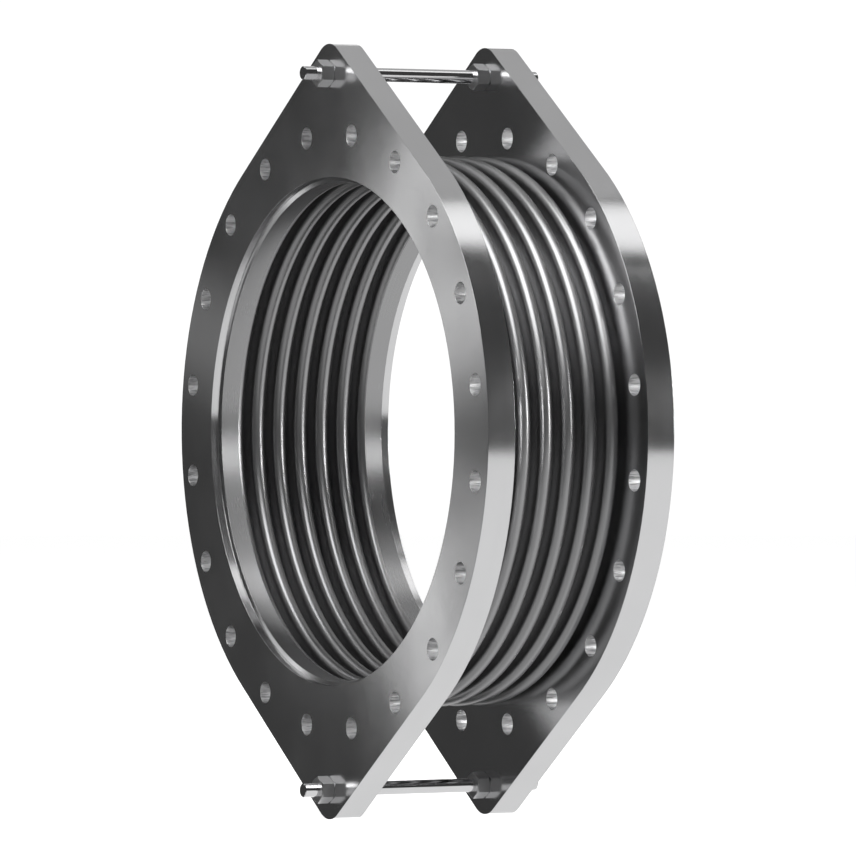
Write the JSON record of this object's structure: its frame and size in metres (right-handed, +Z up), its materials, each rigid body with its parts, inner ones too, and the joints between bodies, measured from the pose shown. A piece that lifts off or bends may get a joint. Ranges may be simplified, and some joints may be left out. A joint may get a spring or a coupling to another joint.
{
  "type": "axial expansion joint",
  "caption": "Flanged axial expansion joint: a corrugated steel bellows between drilled plate flanges whose ears carry limit rods and nuts.",
  "frame": {"origin": "on the pipe axis, midway between the two flanges at the neutral length", "axes": "+Y along the pipe axis from the sliding flange towards the fixed flange, +Z up through the upper ears and rod, +X across the pipe"},
  "size_m": [0.6448, 0.27, 0.78],
  "materials": {
    "flange_steel": "smooth satin-polished stainless steel",
    "bellows_steel": "bright rolled stainless steel",
    "rod_steel": "bright drawn stainless steel",
    "nut_steel": "plain stainless steel"
  },
  "bodies": {
    "fixed_end": {"fixed_flange": "flange_steel", "bellows": "bellows_steel", "tie_rod_top": "rod_steel", "tie_rod_bottom": "rod_steel", "inner_nut_top": "nut_steel", "inner_nut_bottom": "nut_steel", "outer_nut_top": "nut_steel", "outer_nut_bottom": "nut_steel", "stop_nut_top": "nut_steel", "stop_nut_bottom": "nut_steel"},
    "sliding_end": {"sliding_flange": "flange_steel"}
  },
  "joints": [
    {"name": "axial_travel", "type": "slide", "parent": "fixed_end", "child": "sliding_end", "axis": [0, 1, 0], "range_m": [0, 0.03], "stiffness_N_per_m": 300000, "deforming": ["bellows"]}
  ]
}
